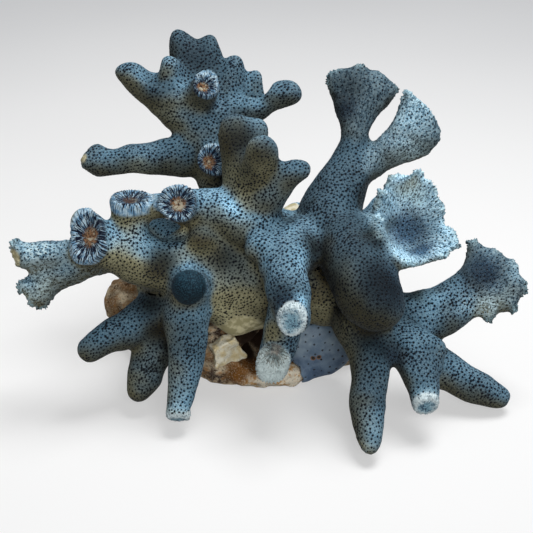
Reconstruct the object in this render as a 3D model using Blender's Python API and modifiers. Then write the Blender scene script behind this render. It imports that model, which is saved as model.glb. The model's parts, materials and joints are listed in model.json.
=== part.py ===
"""A colony of blue coral on the stone that it grew on, the stone cut off flat underneath.

The coral is laid out as strands. A strand is a run of points (across, rise, reach, radius) in
millimetres, in a layout frame that is tipped back by LEAN: across is world +X, rise climbs and leans
back, and reach comes forward and up. The strands of one limb are fused into one body, and each limb
ends just short of the limb it grows from. World +Z is up, z = 0 is the flat cut that the stone rests
on, and the origin is the middle of that cut.
"""

import math

import bmesh
import bpy
from mathutils import Euler, Matrix, Vector, noise

MM = 0.001
LEAN = math.radians(28)
HEART = Vector((10, -36, 50))  # the layout frame's origin from the middle of the flat cut, mm

CORAL_GRID = 1.0  # voxel size of a limb, mm
CORAL_SMOOTHING = 8  # passes that round a limb's crotches
STRAND_STEPS = 5  # curve points per skeleton span
STRAND_EXTRA = 0.25  # mm that the smoothing takes off again
STRAND_ROUNDNESS = 4  # subdivisions of a quarter of a strand's section
DOME_ANGLES = [math.radians(a) for a in (28, 52, 70, 84)]  # rings of a strand's round end
TRIANGLES_PER_AREA = 0.063e6  # of the thinned limbs, per square metre
WELD = 1e-7  # vertices nearer than this are one, m

JOINT_GAP = 0.4  # between two pieces that meet, mm
NEAR = 1.0  # pieces whose boxes are further apart than this aren't cut against each other, mm

STONE_GRID = 1.3
STONE_SMOOTHING = 2
HOLLOW_SMOOTHING = 1
STONE_TRIANGLES = 1000
LUMP_FINENESS = 4  # subdivisions of the ball that each lump is made from
STONE_WEAR = (2.2, 11)  # depth and size of the weathering, mm
STONE_LUMPS = [  # centre, half sizes
    ((2, 2, 8), (40, 34, 22)),
    ((-30, -4, 8), (13, 20, 16)),
    ((-43.5, 0, 16), (8, 9, 8)),
    ((-2, -19, 11), (25, 19, 18)),
    ((34, -2, 8), (17, 24, 17)),
    ((8, -30, 4), (21, 9, 5.5)),
]
HOLLOW_LUMPS = [  # the broken-open hollow in the stone's front
    ((8, -35, 13.5), (8.6, 17, 7.5)),
    ((9, -28, 14), (7, 14, 8)),
]
FLAT_CUT = 200  # side of the block that is cut away below z = 0, mm

CRUST_GRID = 0.9
CRUST_SMOOTHING = 4
CRUST_LUMPS = [
    ((29, -32.5, 12), (11, 3.5, 9.5)),
    ((36, -30, 15), (8, 4, 7.5)),
    ((24, -34.5, 5.5), (3.5, 3, 4.2)),
    ((27, -32.5, 18), (9, 4.5, 8)),
]

CHIP_GRID = 0.6
CHIP_SMOOTHING = 2
CHIP_SIZE = (9.6, 4, 9)
CHIP_PLACE = (-4.3, -38.5, 17.5)
CHIP_TURN = (0, -14, 24)  # about X, Y and Z, degrees
CHIP_WEAR = (0.9, 4)

WEAR_ROUGHNESS = 0.8  # how much weaker each finer layer of the weathering is
WEAR_STEP = 2.1  # how much finer each layer is
WEAR_LAYERS = 3

SHARP = math.radians(50)  # edges that bend more than this are shaded sharp

# Materials: the name, the base colour and the roughness.
BLUE = ("blue_coral", (0.100, 0.185, 0.270, 1), 0.85)
TAN = ("matrix_stone", (0.360, 0.255, 0.160, 1), 0.9)
SLATE = ("coral_crust", (0.110, 0.175, 0.265, 1), 0.7)
CREAM = ("shell", (0.640, 0.560, 0.400, 1), 0.6)

# The strands of every piece. Each piece stops short of those before it in this list.
PIECES = {
    "trunk": [
        [(-34.5, -6.5, -12, 11.5), (-20, -4, -10, 14.5), (-3, -5.5, -10, 14.7), (14, -6.5, -12, 13.9),
         (29, -9, -10, 11.5)],
        [(-16, 10.5, -10, 10.6), (-3, 10, -8, 11.5), (11.5, 8, -8, 10.5), (24, 6.5, -6, 10.5)],
        [(-28, -3, -28, 13.5), (-8, -2, -32, 15.5), (14, -3, -30, 14)],
        [(-10.5, -7, -25, 14.5), (-10, -15, -34, 13), (-8, -19, -40, 10)],
        [(-17, 10, -6, 6.6), (-22.5, 10, 3, 4.5)],
        [(-36, 0, -6, 8.5), (-27, 5, -6, 9), (-16, 8, -7, 10)],
    ],
    "crown_stem": [
        [(-16, 9, -18, 9.8), (-15.5, 23, -24, 7.7), (-18, 35.5, -26, 8.2), (-23, 47, -27, 9),
         (-26, 56, -27, 8.5)],
        [(-20.5, 40.5, -24, 5.9), (-19.5, 38, -16, 5.2), (-19.5, 38, -13, 5.7)],
    ],
    "crown_left_arm": [
        [(-25.5, 40.5, -26, 7.5), (-35.5, 40, -25, 6.3), (-45, 39.5, -23, 5.6), (-51, 39, -22, 5.2),
         (-54, 38, -22, 4.5), (-59.5, 38, -21, 5.4), (-63, 37.5, -20, 4.2)],
    ],
    "crown_left_frond": [
        [(-23, 51, -27, 8.5), (-35.5, 60, -25, 7), (-44, 66, -23, 5.9), (-49.5, 69.5, -22, 4.6),
         (-52, 70.5, -22, 3.5)],
        [(-28, 60.5, -25, 5.2), (-34.5, 71, -22, 4.1), (-36.5, 73.5, -21, 3.3)],
        [(-25.5, 59, -26, 6.2), (-22.5, 64, -15, 5), (-22, 64.5, -11, 5.1)],
    ],
    "crown_back_lobes": [
        [(-24, 58, -28, 7.7), (-28, 74.5, -31, 6.3), (-31.5, 82.5, -32, 4.4), (-32.5, 84.5, -32, 3.4)],
        [(-22.5, 58, -28, 7.2), (-22, 73.5, -31, 6), (-21, 81.5, -32, 4.3), (-21, 83, -32, 3.3)],
    ],
    "crown_right_fingers": [
        [(-18, 51.5, -27, 7.2), (-10.5, 54.5, -26, 6.2), (-3.5, 58.5, -25, 4.7), (3, 62.5, -24, 4.5),
         (8, 63.5, -23, 5.2)],
        [(-12, 55.5, -27, 5.2), (-12.2, 65.5, -27, 4.2), (-12, 74, -28, 3.7)],
        [(-8.5, 56, -27, 4.8), (-6, 64, -29, 4), (-4.5, 70, -30, 3)],
    ],
    "centre_finger": [
        [(-4.5, 18.5, 0, 8.9), (-8, 32.5, -1, 6.9), (-10, 42, -2, 6.2), (-11, 48.5, -3, 5.5)],
        [(-7, 36.5, -2, 5.9), (-4.5, 46, -4, 5), (-3.5, 48.5, -4, 4.1)],
        [(-5, 29.5, 2, 6.2), (-2, 35, 8, 5.8), (-1.5, 39, 14, 5.4)],
    ],
    "centre_side_finger": [
        [(-3, 20.5, 2, 7), (3.5, 28, 5, 5.2), (7.5, 31.5, 8, 4.4), (11.5, 33.5, 9, 4.1)],
    ],
    "upper_arm": [
        [(-5, 15, 0, 9.5), (-14.5, 18.5, 0, 7.8), (-22, 20.5, 0, 6.6), (-29, 21, 0, 5.8)],
        [(-29.5, 21, 0, 5.6), (-30.5, 21.5, 7, 6.2), (-30.5, 21.5, 10, 6.4)],
    ],
    "left_arm": [
        [(-31.5, 0, -2, 9.8), (-40, 0.5, 1, 8.3), (-48, 3.5, 4, 7.6), (-55.5, 6, 6, 6.3), (-59, 6.5, 7, 5.6)],
        [(-43, 3, 1, 8.3), (-47, 10, 2, 6.6), (-47.5, 16.5, 3, 6.1), (-47, 20, 5, 6.1)],
        [(-46, 18, 2, 5.3), (-51, 20.5, 3, 4)],
        [(-46, 19.5, 4, 4.4), (-40, 20.5, 5, 3.7), (-33, 21, 6, 4)],
        [(-56.5, 7.5, 6, 5.6), (-60.5, 14, 11, 4.6), (-60.5, 14.5, 14, 4.8)],
        [(-56.5, 5.5, 6, 5.6), (-61, 6, 11, 5.3), (-61, 6, 14, 5.3)],
    ],
    "left_arm_end": [
        [(-55.5, 4, 5, 5.6), (-68.5, 4, 6, 4.9), (-77.5, 3.5, 7, 4.8), (-82.5, 3.5, 8, 4.7)],
    ],
    "left_fork_tip": [
        [(-55.5, 3, 4, 5.2), (-65.5, 0, 5, 4.7), (-73.5, -4.5, 6, 4.3), (-79, -8.5, 6, 3.4)],
        [(-74, -5, 6, 3.6), (-84.2, -6.5, 6, 2.2)],
        [(-74, -6, 6, 3.4), (-80, -12.4, 6, 2.1)],
    ],
    "low_left_finger": [
        [(-34, -12.5, -8, 9.6), (-42.5, -18.5, -6, 7.2), (-49.5, -22.5, -3, 6), (-56, -25, 0, 5.4),
         (-61.5, -28.5, 2, 4.5)],
    ],
    "low_middle_finger": [
        [(-34.5, -15, -12, 9.7), (-39, -26, -10, 7.5), (-42, -35.5, -8, 6.3), (-44.5, -42.5, -6, 5)],
    ],
    "front_left_finger": [
        [(-27, -9, -6, 9), (-28, -16, 2, 8), (-27, -27.5, 4, 6.3), (-28.5, -37, 4, 5.5), (-30, -44.5, 4, 4.5),
         (-30.5, -50, 4, 4.1)],
        [(-27.5, -9, -2, 7.8), (-26.5, -7, 10, 6.3)],
    ],
    "front_finger": [
        [(12, 7.5, -4, 10.5), (7.5, 4.5, 5, 9), (6, -1.5, 12, 7.6), (8, -10.5, 18, 6.6), (9, -16.5, 22, 5.7)],
        [(3, 4.5, 6, 5.9), (-3.5, 6.5, 10, 4)],
        [(7.5, -12, 9, 6.8), (5.5, -22.5, 9, 6.3), (3, -31, 9, 5.4), (2, -35, 9, 4.9)],
    ],
    "fan_stem": [
        [(21, 12.5, -8, 11.4), (23, 21, -10, 10.6), (28, 31, -12, 8.7), (30.5, 38, -13, 6.3),
         (30.7, 44, -13, 4.9)],
    ],
    "tall_fan": [
        [(30.6, 40.5, -13, 5.1), (31.2, 49, -13, 4.8), (33.4, 57, -13, 5.6)],
        [(31.5, 51.5, -13, 4.7), (27.8, 60, -14, 4.2), (26.9, 66.5, -14, 3.7)],
        [(32, 53, -13, 4.9), (33.3, 69.3, -14, 3.4)],
        [(32.5, 54, -13, 4.9), (39.5, 67.5, -14, 3.4)],
        [(32.5, 53, -13, 4.4), (43, 65, -15, 2.8)],
        [(32, 51, -13, 4), (39.5, 59, -14, 3.2), (45.8, 63.8, -15, 2.2)],
    ],
    "side_fan": [
        [(31, 34, -12, 6.5), (38, 37.5, -12, 5.2), (43.5, 41, -12, 5.4), (47.5, 44.5, -12, 6)],
        [(45.5, 43.5, -12, 4.8), (48.8, 53, -10, 3.2), (49.6, 61.3, -8, 1.8)],
        [(45.5, 43.5, -12, 4.8), (53.5, 57.3, -9, 2.7)],
        [(45.5, 43.5, -12, 4.8), (57.2, 52.3, -10, 3.4)],
        [(45.5, 43, -12, 5.2), (58.4, 47, -11, 3.7)],
        [(45, 42.5, -12, 5.1), (55.5, 42.4, -11, 3.7)],
    ],
    "cup_fan": [
        [(27, 9, -3, 8.5), (34, 11, -2, 7), (42, 12.5, -2, 5)],
        [(42.5, 13, -2, 4.4), (38.6, 14, 2.5, 3.1), (38.2, 16, 9, 2.4)],
        [(42.5, 13, -2, 4.4), (38.8, 10.5, 3.5, 3.1), (38.8, 10, 11, 2.5)],
        [(42.5, 13, -2, 4.4), (41.3, 5.5, 3.5, 3.1), (42.7, 4, 12, 2.5)],
        [(42.5, 12.5, -2, 4.4), (46.5, 3.8, 3.5, 3.1), (48.2, 1.8, 12, 2.4)],
        [(43, 12.5, -2, 4.4), (51.5, 4.3, 4, 3), (54, 2.5, 11, 2.3)],
        [(44, 12.5, -2, 4.4), (54.5, 7, 3.5, 3), (59, 4.5, 10, 2.2)],
        [(44, 12.5, -2, 4.4), (57, 9.5, 3, 2.9), (64.5, 6.6, 8, 2.1)],
        [(44, 13, -2, 4.4), (56, 13, 0.5, 2.9), (62, 11.5, 5, 2.2)],
        [(44, 13.5, -2, 4.4), (54, 16, -0.5, 2.9), (59.5, 17, 3, 2.4)],
        [(44, 14, -2, 4.4), (52.5, 19, -1, 2.9), (58.5, 22, 1.5, 2.3)],
        [(43.5, 14.5, -2, 4.4), (51, 21, -2, 2.9), (56.5, 27, 0, 2.3)],
        [(43, 15, -2, 4.4), (49, 22, -2.5, 2.9), (51.5, 29.5, -1, 2.3)],
        [(43, 15, -2, 4.4), (46, 22, -2.5, 3), (47, 28, -2, 2.4)],
        [(42.5, 15, -2, 4.4), (43, 21, -2, 3.2), (42.6, 28.5, -2, 2.4)],
        [(41.5, 14.5, -2, 4.4), (40.3, 19, 0, 3.4), (39.4, 23, 3, 2.7)],
    ],
    "club": [
        [(27, 10, -3, 10), (31, 1, 7, 11.3), (34.5, -8, 12, 11.3), (37, -12, 14, 9.9)],
    ],
    "right_arm": [
        [(36.5, -16, -6, 9.5), (50, -17.5, -7, 7.9), (61, -14, -8, 6.6), (70.5, -8.5, -9, 6.7)],
        [(48, -21, -6, 7), (60, -19, -7, 6.4), (70, -14.5, -8, 5.6)],
    ],
    "right_fan": [
        [(66, -11.5, -9, 6.3), (73, -6.5, -9, 6.5), (76.5, -5, -9, 6)],
        [(74, -6.5, -9, 5.1), (74, 6.5, -10, 2.9)],
        [(74, -6.5, -9, 5.1), (80.5, 4, -10, 3.4)],
        [(74, -6.5, -9, 5.1), (86.5, -0.5, -9, 3.6)],
        [(74, -6.5, -9, 5.1), (89, -7, -7, 3.6)],
        [(74, -6.5, -9, 5.1), (85.5, -13.5, -5, 3.3)],
        [(73, -8, -9, 5.3), (78, -16.5, -5, 2.9)],
    ],
    "low_right_finger": [
        [(38, -21, -3, 9), (49, -28, 4, 7.8), (53, -36.5, 8, 6.1), (54, -45.5, 10, 4.8)],
        [(52.5, -27.5, 4, 6.1), (59, -28.5, 5, 3.5)],
        [(54.5, -32, 5, 4.7), (59.5, -34, 5, 2.6)],
    ],
    "low_far_finger": [
        [(45, -25, -10, 7), (62, -36.5, -9, 6.5), (73, -42, -8, 5.7), (82, -46, -8, 4.2)],
    ],
    "front_right_finger": [
        [(31.5, -18.5, -1, 8.9), (35, -28.5, 6, 6.6), (35.5, -39, 11, 6), (34, -49, 15, 5.6),
         (34.5, -56, 18, 4.3), (34.5, -60.5, 20, 3.4)],
    ],
    "back_left_branch": [
        [(-22, -1, -30, 11), (-31, 5.5, -37, 7.6), (-40, 12.5, -42, 6.4)],
        [(-36, 9, -40, 6.4), (-37, 6, -52, 5.6), (-36, 7, -58, 4.6)],
    ],
    "back_middle_branch": [
        [(-3, 3, -34, 12), (-1, 10, -48, 8), (1, 12, -60, 6.6), (-2, 13, -68, 5)],
        [(0, 11.5, -54, 6.4), (9, 18, -60, 5), (12, 21, -62, 4)],
    ],
    "back_right_branch": [
        [(21.5, 3, -20, 9.8), (32, 10.5, -30, 7.5), (41, 17, -36, 5.8), (43, 22, -38, 5)],
    ],
    "back_low_branch": [
        [(24, -4, -28, 11), (32, -2, -44, 7), (38, -4, -54, 5.8), (42, -3, -61, 4.6)],
        [(33, -2, -46, 6), (26, 4, -56, 5), (24, 6, -61, 4)],
    ],
}


def place(across, rise, reach):
    """World position of a point of the layout frame, in metres."""
    up = rise * math.cos(LEAN) + reach * math.sin(LEAN)
    back = rise * math.sin(LEAN) - reach * math.cos(LEAN)
    return (HEART + Vector((across, back, up))) * MM


def along(points, share):
    """Point at a share of the length of a smooth run through the points."""
    spans = len(points) - 1
    position = min(share * spans, spans - 1e-6)
    i = int(position)
    t = position - i
    b, c = points[i], points[i + 1]
    a = points[i - 1] if i else 2 * b - c
    d = points[i + 2] if i + 2 <= spans else 2 * c - b
    square = 2 * a - 5 * b + 4 * c - d
    cube = 3 * b - a - 3 * c + d
    return 0.5 * (2 * b + (c - a) * t + square * t**2 + cube * t**3)


def add_object(name, mesh, collection):
    """A new object of the mesh in the collection."""
    item = bpy.data.objects.new(name, mesh)
    collection.objects.link(item)
    return item


def baked(item):
    """The object's evaluated mesh as a new mesh."""
    depsgraph = bpy.context.evaluated_depsgraph_get()
    return bpy.data.meshes.new_from_object(item.evaluated_get(depsgraph))


def remove(item):
    """Delete an object and its mesh or curve."""
    data = item.data
    bpy.data.objects.remove(item)
    if data.users == 0:
        bpy.data.batch_remove([data])


def settle(item):
    """Replace the object's mesh by the result of its modifiers."""
    mesh = baked(item)
    old = item.data
    item.modifiers.clear()
    item.data = mesh
    bpy.data.meshes.remove(old)


def strand_mesh(points):
    """A round bar with tapering radius and domed ends along one strand."""
    spots = [place(*p[:3]) for p in points]
    widths = [Vector(((p[3] + STRAND_EXTRA) * MM, 0, 0)) for p in points]
    steps = STRAND_STEPS * (len(points) - 1)
    line = [(along(spots, k / steps), along(widths, k / steps).x) for k in range(steps + 1)]
    (start, start_r), (end, end_r) = line[0], line[-1]
    backward = (start - line[1][0]).normalized()
    forward = (end - line[-2][0]).normalized()
    head = [(start + backward * start_r * math.sin(a), start_r * math.cos(a)) for a in DOME_ANGLES]
    tail = [(end + forward * end_r * math.sin(a), end_r * math.cos(a)) for a in DOME_ANGLES]
    line = head[::-1] + line + tail

    curve = bpy.data.curves.new("strand", "CURVE")
    curve.dimensions = "3D"
    curve.bevel_depth = 1
    curve.bevel_resolution = STRAND_ROUNDNESS
    curve.use_fill_caps = True
    spline = curve.splines.new("POLY")
    spline.points.add(len(line) - 1)
    for point, (spot, r) in zip(spline.points, line):
        point.co = (*spot, 1)
        point.radius = r
    item = add_object("strand", curve, bpy.context.scene.collection)
    mesh = baked(item)
    remove(item)
    work = bmesh.new()
    work.from_mesh(mesh)
    bmesh.ops.remove_doubles(work, verts=work.verts, dist=WELD)
    work.to_mesh(mesh)
    work.free()
    return mesh


def limb(name, collection):
    """The strands of one piece as one smooth body."""
    work = bmesh.new()
    for run in PIECES[name]:
        mesh = strand_mesh(run)
        work.from_mesh(mesh)
        bpy.data.meshes.remove(mesh)
    mesh = bpy.data.meshes.new(name)
    work.to_mesh(mesh)
    work.free()
    body = add_object(name, mesh, collection)
    fuse(body, CORAL_GRID, CORAL_SMOOTHING)
    return body


def area(body):
    """The area of the body's surface, in square metres."""
    return sum(face.area for face in body.data.polygons)


def box_of(body):
    """The lowest and highest place of the body along each axis."""
    spots = [vertex.co for vertex in body.data.vertices]
    return [(min(s[i] for s in spots), max(s[i] for s in spots)) for i in range(3)]


def near(one, other):
    """Whether the boxes of two bodies come near each other."""
    pairs = zip(box_of(one), box_of(other))
    return all(a[0] < b[1] + NEAR * MM and b[0] < a[1] + NEAR * MM for a, b in pairs)


def thin(body, triangles):
    """Bring the mesh down to about this many triangles."""
    body.data.calc_loop_triangles()
    have = len(body.data.loop_triangles)
    step = body.modifiers.new("thin", "DECIMATE")
    step.ratio = min(1, triangles / have)
    step.use_collapse_triangulate = True
    settle(body)


def cut(body, cutter):
    """Take the cutter away from the body."""
    step = body.modifiers.new("cut", "BOOLEAN")
    step.operation = "DIFFERENCE"
    step.solver = "EXACT"
    step.use_self = True
    step.object = cutter
    settle(body)


def grown(body, guides):
    """A copy of the body that is fatter by the joint gap, to cut later pieces with."""
    copy = add_object("grown_" + body.name, body.data.copy(), guides)
    grow = copy.modifiers.new("grow", "DISPLACE")
    grow.mid_level = 0
    grow.strength = JOINT_GAP * MM
    settle(copy)
    return copy


def block(name, shape, collection):
    """A unit cube under the given matrix."""
    work = bmesh.new()
    bmesh.ops.create_cube(work, size=1, matrix=shape)
    mesh = bpy.data.meshes.new(name)
    work.to_mesh(mesh)
    work.free()
    return add_object(name, mesh, collection)


def lumps(name, items, collection):
    """Ellipsoids, each a centre and its half sizes in mm."""
    work = bmesh.new()
    for centre, size in items:
        shape = Matrix.Translation(Vector(centre) * MM) @ Matrix.Diagonal((*[s * MM for s in size], 1))
        bmesh.ops.create_icosphere(work, subdivisions=LUMP_FINENESS, radius=1, matrix=shape)
    mesh = bpy.data.meshes.new(name)
    work.to_mesh(mesh)
    work.free()
    return add_object(name, mesh, collection)


def fuse(body, grid_size, soft_steps):
    """Melt the body's parts into one skin on a voxel grid, and soften it some times."""
    grid = body.modifiers.new("fuse", "REMESH")
    grid.mode = "VOXEL"
    grid.voxel_size = grid_size * MM
    if soft_steps:
        soft = body.modifiers.new("soft", "SMOOTH")
        soft.factor = 0.5
        soft.iterations = soft_steps
    settle(body)


def roughen(body, depth, size):
    """Weather a surface: push it in and out by noise of the given depth and size, in mm."""
    mesh = body.data
    normals = [vertex.normal.copy() for vertex in mesh.vertices]
    for vertex, normal in zip(mesh.vertices, normals):
        push = noise.fractal(vertex.co / (size * MM), WEAR_ROUGHNESS, WEAR_STEP, WEAR_LAYERS)
        vertex.co += normal * push * depth * MM


def make_stone(collection, guides):
    """The weathered stone with its hollow, cut flat below, and the cutter of what grows on it."""
    stone = lumps("stone", STONE_LUMPS, collection)
    hollow = lumps("hollow", HOLLOW_LUMPS, guides)
    fuse(stone, STONE_GRID, STONE_SMOOTHING)
    fuse(hollow, STONE_GRID, HOLLOW_SMOOTHING)
    cut(stone, hollow)
    remove(hollow)
    roughen(stone, *STONE_WEAR)
    fuse(stone, STONE_GRID, 0)
    thin(stone, STONE_TRIANGLES)
    cutter = grown(stone, guides)
    shape = Matrix.Translation((0, 0, -FLAT_CUT * MM / 2)) @ Matrix.Scale(FLAT_CUT * MM, 4)
    flat = block("flat_cut", shape, guides)
    cut(stone, flat)
    remove(flat)
    return stone, cutter


def make_crust(collection):
    """A smooth skin of young coral that hangs over the stone's right front."""
    crust = lumps("blue_crust", CRUST_LUMPS, collection)
    fuse(crust, CRUST_GRID, CRUST_SMOOTHING)
    return crust


def make_chip(collection):
    """A square broken flake of shell standing at the hollow's left edge."""
    turn = Euler([math.radians(a) for a in CHIP_TURN]).to_matrix().to_4x4()
    size = Matrix.Diagonal((*[side * MM for side in CHIP_SIZE], 1))
    shape = Matrix.Translation(Vector(CHIP_PLACE) * MM) @ turn @ size
    chip = block("shell_chip", shape, collection)
    fuse(chip, CHIP_GRID, CHIP_SMOOTHING)
    roughen(chip, *CHIP_WEAR)
    return chip


def paint(item, name, colour, roughness):
    """Give the piece its material, and smooth shading with sharp creases."""
    surface = bpy.data.materials.get(name)
    if surface is None:
        surface = bpy.data.materials.new(name)
        surface.use_nodes = True
        shader = surface.node_tree.nodes["Principled BSDF"]
        shader.inputs["Base Color"].default_value = colour
        shader.inputs["Roughness"].default_value = roughness
        shader.inputs["Metallic"].default_value = 0
    item.data.materials.clear()
    item.data.materials.append(surface)
    item.data.shade_smooth()
    item.data.set_sharp_from_angle(angle=SHARP)


def keep_largest(item):
    """Drop crumbs that a cut has left beside the piece."""
    work = bmesh.new()
    work.from_mesh(item.data)
    left = set(work.verts)
    islands = []
    while left:
        seed = left.pop()
        island = {seed}
        edge = [seed]
        while edge:
            vertex = edge.pop()
            for link in vertex.link_edges:
                other = link.other_vert(vertex)
                if other not in island:
                    island.add(other)
                    edge.append(other)
        left -= island
        islands.append(island)
    islands.sort(key=len, reverse=True)
    for island in islands[1:]:
        bmesh.ops.delete(work, geom=list(island), context="VERTS")
    work.to_mesh(item.data)
    work.free()


def main():
    """Make the stone, the coral that grows from it, the crust and the chip, and fit them together."""
    for item in list(bpy.data.objects):
        bpy.data.objects.remove(item)
    scene = bpy.context.scene
    collection = bpy.data.collections.new("blue_coral")
    guides = bpy.data.collections.new("guides")
    scene.collection.children.link(collection)
    scene.collection.children.link(guides)

    stone, stone_cutter = make_stone(collection, guides)
    limbs = [limb(name, collection) for name in PIECES]
    crust = make_crust(collection)
    chip = make_chip(collection)

    cutters = [stone_cutter]
    for body in (*limbs, crust, chip):
        thin(body, TRIANGLES_PER_AREA * area(body))
        cutter = grown(body, guides)
        for other in cutters:
            if near(body, other):
                cut(body, other)
        keep_largest(body)
        cutters.append(cutter)
    for cutter in cutters:
        remove(cutter)
    bpy.data.collections.remove(guides)

    for body in limbs:
        paint(body, *BLUE)
    paint(stone, *TAN)
    paint(crust, *SLATE)
    paint(chip, *CREAM)


main()
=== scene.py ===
"""Blue coral colony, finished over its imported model.

The coral nodes are fused into one smooth skin. The skin gets its open tips, ruffled rims, broken ends
and pores, and is then shared out among the nodes it came from. The stone, the crust and the chip are
refined one by one.
"""

import json
import math
import random

import bmesh
import bpy
import numpy as np
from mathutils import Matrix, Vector, bvhtree, kdtree, noise

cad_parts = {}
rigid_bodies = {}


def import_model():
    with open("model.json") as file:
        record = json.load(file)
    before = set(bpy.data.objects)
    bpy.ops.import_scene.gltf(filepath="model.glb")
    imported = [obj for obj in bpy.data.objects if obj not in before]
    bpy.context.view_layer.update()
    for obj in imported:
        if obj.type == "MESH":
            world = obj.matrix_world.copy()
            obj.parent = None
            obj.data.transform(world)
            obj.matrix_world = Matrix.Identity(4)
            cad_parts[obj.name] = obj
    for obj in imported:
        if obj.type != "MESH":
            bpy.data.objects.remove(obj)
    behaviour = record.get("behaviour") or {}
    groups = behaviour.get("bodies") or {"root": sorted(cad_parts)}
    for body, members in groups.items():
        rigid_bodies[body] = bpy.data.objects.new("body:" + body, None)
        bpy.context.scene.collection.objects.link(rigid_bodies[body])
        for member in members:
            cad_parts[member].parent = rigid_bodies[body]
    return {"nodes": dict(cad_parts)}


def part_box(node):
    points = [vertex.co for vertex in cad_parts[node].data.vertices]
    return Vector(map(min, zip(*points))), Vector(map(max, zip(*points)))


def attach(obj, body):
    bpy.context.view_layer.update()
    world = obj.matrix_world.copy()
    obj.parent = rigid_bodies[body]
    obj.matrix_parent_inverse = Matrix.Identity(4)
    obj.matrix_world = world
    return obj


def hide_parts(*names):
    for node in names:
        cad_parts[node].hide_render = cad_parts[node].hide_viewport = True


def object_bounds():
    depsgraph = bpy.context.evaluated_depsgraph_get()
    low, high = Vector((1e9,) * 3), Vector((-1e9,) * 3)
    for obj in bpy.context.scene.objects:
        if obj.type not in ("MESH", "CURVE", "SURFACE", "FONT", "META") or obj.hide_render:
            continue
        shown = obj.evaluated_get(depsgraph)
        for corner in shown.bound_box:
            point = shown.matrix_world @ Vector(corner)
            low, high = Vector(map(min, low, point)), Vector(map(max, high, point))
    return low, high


MM = 0.001
# The floor's colour in the light that it throws back at the colony.
FLOOR_BOUNCE = (128, 128, 128)
# How much of the floor's paleness does not fade in the colony's shadow.
FLOOR_GLOW = 0.5
FAR_GREY = (204, 205, 207)
FLOOR_RADIUS = 3.0
FLOOR_DROP = 0.02 * MM
# Where the floor starts to fade and is fully grey, in metres from the middle.
FLOOR_FADE = (0.1, 0.6)
AIR_LIGHT = 0.2
# Lamps: the name, the direction, the distance and size in metres and the watts.
LAMPS = (
    ("overhead", (0.25, 0.2, 1.0), 0.9, 0.45, 7.0),
    ("front", (0.2, -1.0, 0.42), 1.2, 0.6, 6.2),
)

# View: how the colony is seen.
LOOK_DOWN = math.radians(28)
AIM = (0.486, 0.406, 0.442)
DISTANCE = 2.887
LENS = 100.8
ACROSS = Vector((1.0, 0.0, 0.0))
RISE = Vector((0.0, math.sin(LOOK_DOWN), math.cos(LOOK_DOWN)))
NEARER = Vector((0.0, -math.cos(LOOK_DOWN), math.sin(LOOK_DOWN)))

# Skin: how the limbs are fused.
WELD = 0.002 * MM
CREASE_ANGLE = math.radians(65)
SEAM_GAP = 0.6 * MM
FUSE_VOXEL = 0.8 * MM
FILLET = 0.8 * MM
SKIN_VOXEL = 0.43 * MM
LUMP_SIZE = 9 * MM
LUMP_HEIGHT = 0.9 * MM
KNOB_SIZE = 4.5 * MM
KNOB_HEIGHT = 0.35 * MM

# Ruffles' waves: the size and height of each in mm, and its seed.
RUFFLE_WAVES = ((6.0, 1.3, 5.0), (2.8, 1.0, 7.0), (1.5, 0.6, 9.0))

# Tips, in parts of their mean half size: the flare, how deep the cut lies and how far the rim rounds off.
TIP_FLARE = 0.12
TIP_DROP = 0.22
TIP_ROUND = 0.3
# The cup's bowl: where the stem behind it starts and ends to bend, and the ring that stays in place.
BOWL_STEM = (-14 * MM, -5 * MM)
BOWL_STILL = 0.75

# Pores: the pits of the polyps.
PORE_RADIUS = 0.36 * MM
PORE_DEPTH = 0.3 * MM
PORE_SPACING = 1.08 * MM
CRUST_SPACING = 3.2 * MM
NO_PORE = 9.0
# How much the pores' sizes and the room around them vary.
PORE_SIZES = (0.65, 1.1)
PORE_ROOM = (0.9, 1.2)

# Islands: a patch of skin with fewer faces goes to the limb around it.
STRAY_FACES = 200

# Fans: how far their rims fray and how big their rays' frame is.
FRINGE = 1.3 * MM
FAN_SIZE = 12 * MM
# The trunk's bare lip ends below this height and stays smooth; bare tips above it are rough.
LIP_TOP = 50 * MM

# Shade: how closed in each spot is, which decides where painted brown shade lies.
SHADE_SPOTS = 9000
SHADE_RAYS = 24
SHADE_REACH = 22 * MM
HOLLOW_REACH = 9 * MM
SHADE_START = 1.0 * MM
# Just over 1, so that no ray starts into the skin.
SHADE_LEAN = 1.02

# Stone, crust and chip.
STONE_VOXEL = 0.7 * MM
CHIP_GROWTH = 1.15

# Open tips: the node, where in the node's box, which way the tip faces (across, rise, nearer), its half
# sizes in mm, its turn in degrees, how deep its dish is in mm and how rusty its centre is.
OPEN_TIPS = (
    ("crown_stem", (0.51, 0.13, 0.67), (0.1, 0.1, 1.0), (6.1, 6.8), 0, 1.8, 0.8),
    ("crown_left_frond", (0.86, 0.05, 0.86), (0.15, 0.3, 1.0), (5.6, 5.0), -15, 1.6, 0.9),
    ("upper_arm", (0.17, 0.05, 0.85), (-0.05, 0.15, 1.0), (7.4, 6.9), 0, 2.0, 0.8),
    ("left_arm", (0.16, 0.16, 0.74), (-0.25, 0.1, 1.0), (6.8, 9.8), -12, 2.2, 0.8),
    ("left_arm", (0.46, 0.73, 0.92), (0.0, 0.85, 0.6), (7.4, 5.6), 0, 1.8, 0.3),
)
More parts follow.
